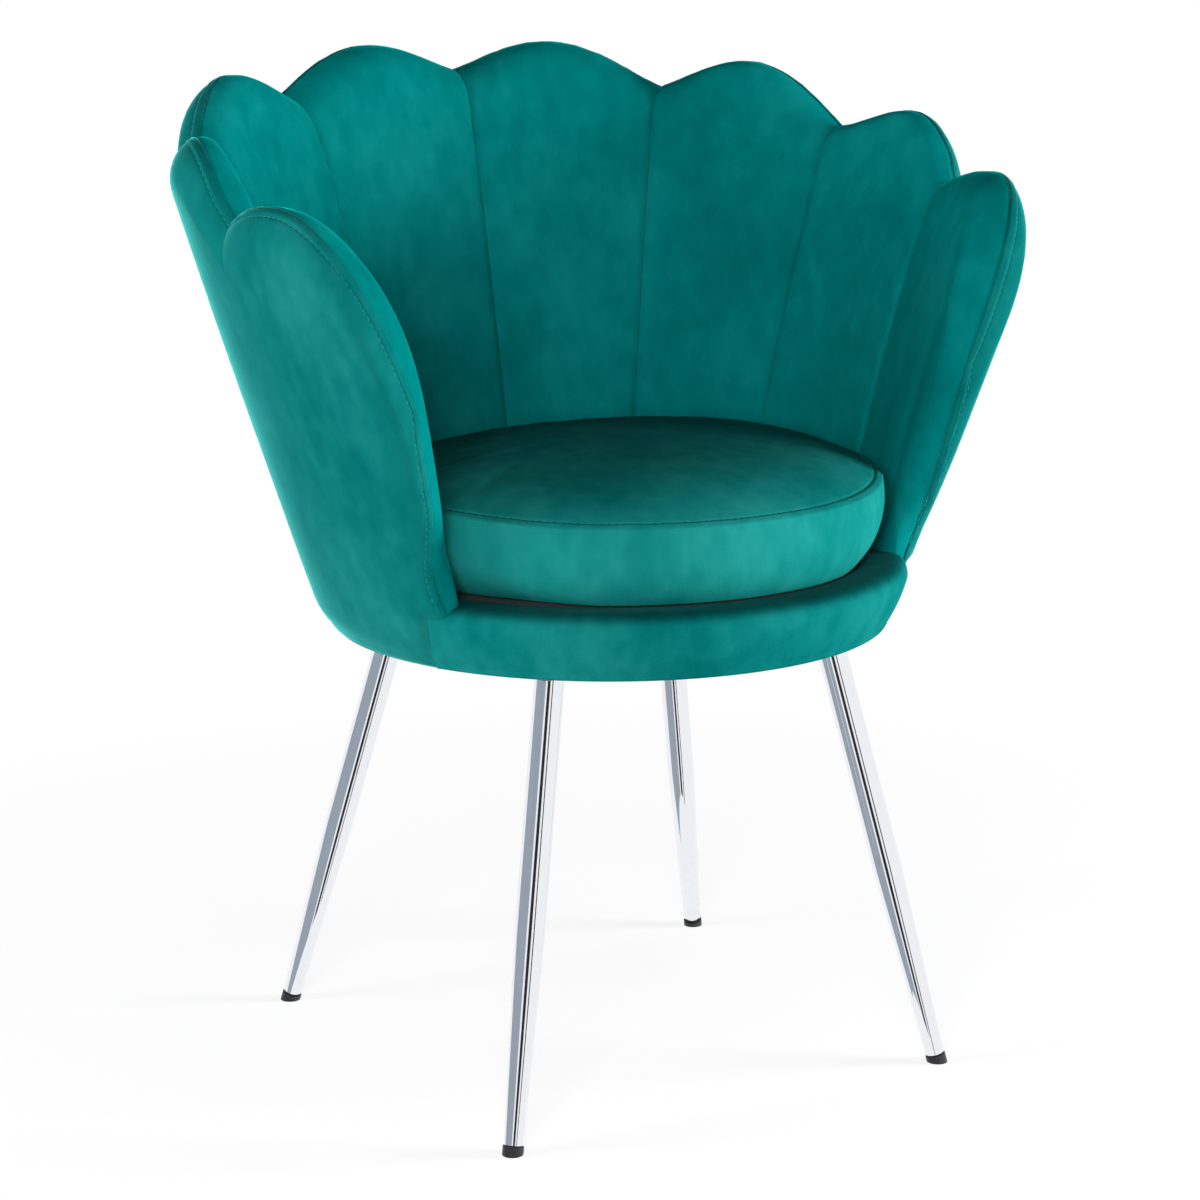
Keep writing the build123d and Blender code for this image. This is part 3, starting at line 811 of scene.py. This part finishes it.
def strip_line(grid, ends_in_edge):
    """Points and normals of the row of stitches along a cover's rim and down its front edge."""
    normals = normals_of(grid)
    first = near_seam.index(strip_width)
    last = len(grid) - 1
    line = []
    for row in range(len(grid)):
        if ends_in_edge and (grid[row][first] - grid[last][first]).length < strip_width:
            break
        line.append((grid[row][first], normals[row][first]))
    if ends_in_edge:
        for column in range(first + 1, len(grid[0])):
            row = last
            while (grid[row][column] - grid[last][column]).length < strip_width:
                row -= 1
            if grid[row][column].z > apron_top:
                line.append((grid[row][column], normals[row][column]))
    return line


def cover_loops(stations, seed, count=96):
    """Closed loops of a cover over one or more petals' slices, and its line of stitches."""
    slices = [Slice(station) for station in stations]
    grid = [each.placed(each.cover_face(count)) for each in slices]
    ends_in_edge = stations[-1].taper < 1.0
    rim = rim_distances(grid, ends_in_edge)

    def lift(row, column):
        distance = rim[row][column]
        point = grid[row][column]
        strip = felled_strip(distance) * smooth(apron_shoulder, apron_top + apron_roll, point.z)
        return strip + padding(point, distance, cover_unevenness_length, seed)

    grid = [[under_apron(point) for point in line] for line in pushed(grid, lift, 1)]
    backs = [each.placed(each.cover_back(), hidden_depth) for each in slices]
    backs = [[under_apron(point) for point in back] for back in backs]
    return [face + back for face, back in zip(grid, backs)], strip_line(grid, ends_in_edge)


rear = petal_stations(centre_seam, rear_seam, centre_valley, rear_valley, rear_rise, rear_crest_lean)
corner = petal_stations(rear_seam, side_seam, rear_valley, side_valley, corner_rise, corner_crest_lean)
side = petal_stations(side_seam, arm_seam, side_valley, arm_valley, side_rise, side_crest_lean)
arm = arm_stations()

hands = {"right": False, "left": True}
for number, stations in enumerate([arm, side, corner, rear], start=1):
    for hand, mirror in hands.items():
        name = f"petal_{hand}_{number}"
        loops = petal_loops(stations, number + left_seed * mirror)
        pad = handed(f"{name}_velvet", *skin(loops), mirror)
        dressed(pad, inner_velvet, [name])

for hand, mirror in hands.items():
    name = f"outer_cover_{hand}"
    loops, line = cover_loops(corner + side[1:] + arm[1:], cover_seed + mirror)
    cover = handed(f"{name}_velvet", *skin(loops), mirror)
    dressed(cover, outer_velvet, [name])
    sewing = handed(f"{name}_stitches", *stitches(line), mirror)
    dressed(sewing, thread)

rear_loops, line = cover_loops(rear, back_seed)
other_half = [mirrored(loop) for loop in rear_loops[:0:-1]]
back_cover = make_object("outer_cover_back_velvet", *skin(other_half + rear_loops))
dressed(back_cover, outer_velvet, ["outer_cover_back"])
for hand, mirror in hands.items():
    sewing = handed(f"back_stitches_{hand}", *stitches(line), mirror)
    dressed(sewing, thread)


# Apron

def apron_section():
    """Closed section of the apron, from its inner foot round the outside."""
    low = underside_height + bottom_round
    path = [(shell_radius + room, underside_height)]
    path += arc((apron_low_radius - bottom_round, low), bottom_round, -90, 0, steps=4)
    for share in spread(0.0, 1.0, steps=12)[1:-1]:
        bow = 4 * share * (1 - share) * apron_bow
        path.append((mix(apron_low_radius, apron_high_radius, share) + bow, mix(low, apron_shoulder, share)))
    path += arc((apron_high_radius - apron_roll, apron_shoulder), apron_roll, 0, 90, steps=12)
    inner = (apron_inside + apron_inner_round, apron_top - apron_inner_round)
    path += arc(inner, apron_inner_round, 90, 180, steps=6)
    path += [(apron_inside, board_top), (board_radius, board_top)]
    return path + [(board_radius, rail_top + room), (shell_radius + room, rail_top + room)]


def apron_loops(count=141):
    """Slices of the apron, each end folded under along its seam to the arm."""
    span = math.radians(180 + 2 * apron_seam_angle) * apron_high_radius
    section = apron_section()
    loops = []
    for share in eased(count):
        inside = min(share, 1 - share) * span
        draw = apron_end_tuck * bell(inside, apron_end_width)
        draw -= apron_welt * bell(inside - apron_welt_place, apron_welt_width)
        loop = []
        for across, height in section:
            radius = across - draw * smooth(shell_radius, apron_low_radius, across)
            end = apron_end(height)
            turn = math.radians(mix(-180 - end, end, share))
            loop.append(Vector((radius * math.cos(turn), radius * math.sin(turn), height)))
        loops.append(loop)
    return loops


apron = make_object("apron_velvet", *skin(apron_loops()))
dressed(apron, apron_velvet, ["apron_pad"])


# Deck under the cushion

def oval(half_width, back, front, count):
    """Plan outline at even turns, from the back, whose back and front halves differ in depth."""
    points = []
    for index in range(count):
        turn = math.pi / 2 + 2 * math.pi * index / count
        depth = back if math.sin(turn) >= 0 else front
        points.append((half_width * math.cos(turn), depth * math.sin(turn)))
    return points


def deck_loops(columns=96, steps=5):
    """Rings of the deck, from its foot over its rounded edge to the middle of its top."""
    half_width = apron_inside - deck_gap
    edge = oval(half_width, seat_back - foot_inset - deck_gap, half_width, columns)
    sections = [(deck_foot_share, board_top + room), (1.0, board_top + deck_foot_rise)]
    for turn in spread(0.0, math.pi / 2, steps):
        share = 1 - deck_round_share * (1 - math.cos(turn))
        sections.append((share, deck_top - deck_round * (1 - math.sin(turn))))
    sections += [(share, deck_top) for share in deck_shares]
    return [[Vector((x * share, y * share, height)) for x, y in edge] for share, height in sections]


deck = make_object("deck_cloth", *skin(deck_loops()))
dressed(deck, deck_fabric, ["deck_pad"])


# Loose cushion

def cushion_profiles(count=46, steps=60):
    """Inset and height from the top seam: down the band to its lower edge, and in over the crown."""
    band, crown = [], []
    for share in spread(1.0, 0.0, steps):
        pull = cushion_seam_inset * share ** cushion_turn_power
        pull += cushion_taper * (1 - share) ** cushion_turn_power
        band.append((pull, mix(cushion_bottom, cushion_seam_height, share)))
    for share in spread(0.0, 1.0, steps):
        inset = cushion_seam_inset + share * cushion_crown_way
        rise = 1 - (1 - share) ** cushion_crown_power
        crown.append((inset, cushion_seam_height + cushion_crown * rise))
    return [seam_spaced(path, count) for path in (band, crown)]


def cushion_grid(columns=240):
    """Rings of the cushion from its underside's middle to its top's middle, and its top seam's ring."""
    band, crown = cushion_profiles()

    def ring(inset, height, share=1.0, held=0.0, under=0.0):
        """The outline inset all round, then shrunk. It is fuller in front where it turns under."""
        inset += cushion_slack
        edge = oval(cushion_half_width - inset, cushion_back - inset, cushion_front - inset, columns)
        edge.append(edge[0])
        points = []
        for x, y in edge:
            lift = cushion_side_lift * smooth(cushion_lift_start, cushion_lift_end, y) * held
            fuller = under * cushion_front_fullness * (1 - smooth(cushion_front_start, cushion_front_end, y))
            scale = share * (1 + fuller / math.hypot(x, y))
            points.append(Vector((x * scale, y * scale, height + lift)))
        return points

    rings = [ring(cushion_taper, cushion_bottom, share) for share in cushion_under_shares]
    for inset, height in band[:0:-1]:
        way_up = (height - cushion_bottom) / (cushion_seam_height - cushion_bottom)
        under = (1 - way_up) ** cushion_turn_power
        rings.append(ring(inset, height, held=smooth(0.0, 1.0, way_up), under=under))
    seam = len(rings)
    for inset, height in crown:
        share = 1 - (inset - cushion_seam_inset) / cushion_half_width
        rings.append(ring(cushion_seam_inset, height, share, 1 - smooth(0.0, cushion_crown_way, inset)))
    top = crown[-1][1]
    for part in cushion_top_shares:
        rings.append(ring(cushion_seam_inset, top + cushion_top_rise * (1 - part ** 2), share * part))
    return rings, seam


def evaluated(thing):
    """Mesh of an object as its modifiers leave it."""
    graph = bpy.context.evaluated_depsgraph_get()
    return bpy.data.meshes.new_from_object(thing.evaluated_get(graph))


def filled(thing, held, voxel=0.005, pressure=4.0, frames=20):
    """Places of a remeshed copy's points before its cover fills, and how far each then moves."""
    copy = thing.copy()
    copy.data = thing.data.copy()
    scene.collection.objects.link(copy)
    remesh = copy.modifiers.new("remesh", "REMESH")
    remesh.mode = "VOXEL"
    remesh.voxel_size = voxel
    copy.data = evaluated(copy)
    copy.modifiers.clear()
    before = [vertex.co.copy() for vertex in copy.data.vertices]
    group = copy.vertex_groups.new(name="held")
    for index, place in enumerate(before):
        group.add([index], held(place), "REPLACE")
    cover = copy.modifiers.new("cover", "CLOTH")
    cover.settings.use_pressure = True
    cover.settings.uniform_pressure_force = pressure
    cover.settings.vertex_group_mass = "held"
    cover.settings.effector_weights.gravity = 0.0
    cover.point_cache.frame_start = 1
    cover.point_cache.frame_end = frames
    for number in range(1, frames + 1):
        scene.frame_set(number)
    moves = [vertex.co - place for vertex, place in zip(evaluated(copy).vertices, before)]
    bpy.data.objects.remove(copy)
    scene.frame_set(1)
    return before, moves


def swollen(grid, held, neighbours=8, blur=0.002):
    """Grid moved as its cover fills, by the nearest points of the simulated copy."""
    rough = make_object("cushion_before", *skin([ring[:-1] for ring in grid]))
    before, moves = filled(rough, held)
    bpy.data.objects.remove(rough)
    tree = kdtree.KDTree(len(before))
    for index, place in enumerate(before):
        tree.insert(place, index)
    tree.balance()
    moved = []
    for ring in grid:
        line = []
        for point in ring:
            place = Vector((point.x, point.y + move_back, point.z)) * METRE
            near = tree.find_n(place, neighbours)
            weights = [1 / (distance + blur) ** 2 for _, _, distance in near]
            move = sum((w * moves[index] for w, (_, index, _) in zip(weights, near)), Vector())
            move /= sum(weights) * METRE
            line.append(point + move * min(1.0, cushion_swell / max(move.length, tiny)))
        moved.append(line)
    return moved


def held_at_seams(place):
    """Hold of the sewing and of the deck on the cushion's cover, none in the middle of its top."""
    height = place.z / METRE
    from_middle = math.hypot(place.x / METRE, place.y / METRE - move_back)
    if from_middle <= cushion_free_top and height >= cushion_seam_height:
        return 0.0
    at_seam = bell(height - cushion_seam_height - cushion_side_lift / 2, cushion_seam_hold)
    return max(at_seam, bell(height - cushion_bottom, cushion_deck_hold))


def seamed(grid, seam):
    """Cushion with its top seam drawn in, the felled edge above it and small puckers beside it."""
    columns = [lengths_along(column) for column in zip(*grid)]

    def lift(row, column):
        distance = columns[column][row] - columns[column][seam]
        groove = cushion_seam_depth * bell(distance, rim_seam_width)
        uneven = padding(grid[row][column], abs(distance), unevenness_length, cushion_seed)
        return felled_strip(distance) - groove + uneven

    grid = pushed(grid, lift, -1)
    normals = normals_of(grid)
    row = seam + near_seam.index(strip_width)
    return grid, [(point, -normal) for point, normal in zip(grid[row], normals[row])]


rings, seam_ring = cushion_grid()
rings = swollen(rings, held_at_seams)
rings, line = seamed(rings, seam_ring)
cushion = make_object("seat_cushion_velvet", *skin([ring[:-1] for ring in rings]))
cushion_nodes = ["cushion_top_panel", "cushion_band", "cushion_bottom_panel", "cushion_foam"]
dressed(cushion, seat_velvet, cushion_nodes, body="seat_cushion")
sewing = make_object("cushion_stitches", *stitches(line))
dressed(sewing, thread, body="seat_cushion")


# Dust cloth stretched under the board

def dust_cloth(rings=14, spokes=96):
    """Disc of cloth, its upper face from the middle out and its lower face back in."""
    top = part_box("dust_cover")[1].z / METRE - dust_gap
    loops = []
    for height, order in ((top, range(1, rings + 1)), (top - dust_thickness, range(rings, 0, -1))):
        for ring in order:
            radius = board_radius * ring / rings
            loops.append([Vector((radius * c, radius * s, height)) for c, s in around(spokes)])
    return skin(loops)


dust = make_object("dust_cloth", *dust_cloth())
dressed(dust, dust_fabric, ["dust_cover"])


# Legs turned smooth, and the finish of the other rigid pieces

def leg_loops(top, foot, sides=64):
    """Rings of a leg from its glide to the plate, the last one cut level."""
    low = Vector((*foot, 0.0))
    axis = Vector((*top, leg_top_height)) - low
    length = axis.length
    axis.normalize()
    across = axis.orthogonal().normalized()
    beside = axis.cross(across)
    straight = length * (1 - straight_share)
    loops = []
    bend_radius = mix(foot_radius, leg_radius, 1 - leg_bend / straight)
    for along, radius in ((glide_height, foot_radius - foot_chamfer),
                          (glide_height + foot_chamfer, foot_radius), (straight - leg_bend, bend_radius),
                          (straight + leg_bend, leg_radius), (None, leg_radius)):
        loop = []
        for c, s in around(sides):
            point = low + radius * (c * across + s * beside)
            way = along if along is not None else (leg_top_height - point.z) / axis.z
            loop.append(point + way * axis)
        loops.append(loop)
    return loops


def finish_nodes(names, material):
    for name in names:
        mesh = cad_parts[name].data
        mesh.materials.clear()
        mesh.materials.append(material)


corners = [f"{end}_{hand}" for end in ("front", "back") for hand in hands]
for end, top, foot in (("front", front_leg_top, front_foot), ("back", back_leg_top, back_foot)):
    for hand, mirror in hands.items():
        leg = handed(f"leg_{end}_{hand}_chrome", *skin(leg_loops(top, foot)), mirror)
        dressed(leg, chrome, [f"leg_{end}_{hand}"])
finish_nodes([f"glide_{place}" for place in corners], black)
finish_nodes([f"leg_plate_{place}" for place in corners], steel)
finish_nodes(["leg_bolts", "leg_washers", "t_nuts", "shell_screws"], steel)
finish_nodes(["back_shell", "front_rail", "seat_board"], wood)


# Floor, light and camera

def stage_object(name, points, faces, material):
    mesh = bpy.data.meshes.new(name)
    mesh.from_pydata(points, [], faces)
    mesh.materials.append(material)
    thing = linked(name, mesh)
    return thing


def floor(size=6.0):
    """White floor whose soft shadow fades out away from the chair."""
    material, tree, shader = node_material("floor")
    tone = noise_texture(tree, scale=1.5)
    pale = ramp(tree, tone, [(0.3, (0.90,) * 3), (0.7, (0.92,) * 3)])
    put(tree, shader, {"Base Color": pale, "Roughness": 0.9})
    place = added(tree, "TexCoord").outputs["Object"]
    away = added(tree, "VectorMath", {0: place}, "LENGTH").outputs["Value"]
    fade = added(tree, "MapRange", {"Value": away, "From Min": 0.2, "From Max": 1.1, "To Min": 0.75})
    camera_ray = added(tree, "LightPath").outputs["Is Camera Ray"]
    seen = added(tree, "Math", {0: fade, 1: camera_ray}, "MULTIPLY")
    white = added(tree, "Emission")
    blend = added(tree, "MixShader", {"Fac": seen, 1: shader, 2: white})
    put(tree, tree.nodes["Material Output"], {"Surface": blend})
    corners = [(-size, -size, 0), (size, -size, 0), (size, size, 0), (-size, size, 0)]
    stage_object("floor", corners, [(0, 1, 2, 3)], material).visible_glossy = False


def mirror_panel(name, start, end, tone, radius=2.0, half_height=3.0, steps=12):
    """Upright curved panel, between two angles from +X, that only the chrome mirrors."""
    material, tree, _ = node_material(name)
    stops = [(0.3, tuple(0.95 * part for part in tone)), (0.7, tone)]
    shade = ramp(tree, noise_texture(tree, scale=2.0, detail=1.0), stops)
    glow = added(tree, "Emission", {"Color": shade})
    put(tree, tree.nodes["Material Output"], {"Surface": glow})
    bow = arc((0.0, 0.0), radius, start, end, steps)
    points = [(x, y, height) for x, y in bow for height in (-half_height, half_height)]
    faces = [(2 * i, 2 * i + 2, 2 * i + 3, 2 * i + 1) for i in range(steps)]
    panel = stage_object(name, points, faces, material)
    panel.visible_camera = False
    panel.visible_diffuse = False
    panel.visible_shadow = False


def white_world():
    """White to the camera and in reflections, softer as light."""
    world = bpy.data.worlds.new("studio")
    world.use_nodes = True
    tree = world.node_tree
    tree.nodes.clear()
    white = (1.0, 1.0, 1.0, 1.0)
    rays = added(tree, "LightPath").outputs
    either = added(tree, "Math", {0: rays["Is Camera Ray"], 1: rays["Is Glossy Ray"]}, "MAXIMUM")
    light = added(tree, "Background", {"Color": white, "Strength": 0.24})
    seen = added(tree, "Background", {"Color": white})
    blend = added(tree, "MixShader", {"Fac": either, 1: light, 2: seen})
    added(tree, "OutputWorld", {"Surface": blend})
    scene.world = world


def aimed(name, data, place, target):
    """Light or camera that looks from a place at a target."""
    thing = linked(name, data)
    thing.location = place
    thing.rotation_euler = (Vector(target) - Vector(place)).to_track_quat("-Z", "Y").to_euler()
    return thing


def area_light(name, place, target, size, power):
    data = bpy.data.lights.new(name, "AREA")
    data.shape = "SQUARE"
    data.size = size
    data.energy = power
    aimed(name, data, place, target).visible_glossy = False


def camera(place, target, lens):
    data = bpy.data.cameras.new("camera")
    data.sensor_width = 36.0
    data.lens = lens
    scene.camera = aimed("camera", data, place, target)


floor()
mirror_panel("panel_grey", -222.0, -142.0, (0.36, 0.41, 0.47))
mirror_panel("panel_dark", -130.0, -110.0, (0.03, 0.03, 0.033))
mirror_panel("panel_thin", -97.0, -90.0, (0.03, 0.03, 0.033))
white_world()
area_light("front", (-2.0, -2.8, 1.4), (0.05, 0.0, 0.55), size=1.4, power=108)
area_light("left", (-2.8, 0.6, 0.9), (0.0, 0.0, 0.5), size=1.0, power=60)
area_light("right", (2.7, -1.5, 0.7), (0.0, 0.0, 0.5), size=1.0, power=170)
camera((-1.1881, -2.10424, 0.8961), (0.0, -0.00684, 0.3586), lens=92.36)
scene.view_settings.view_transform = "Standard"
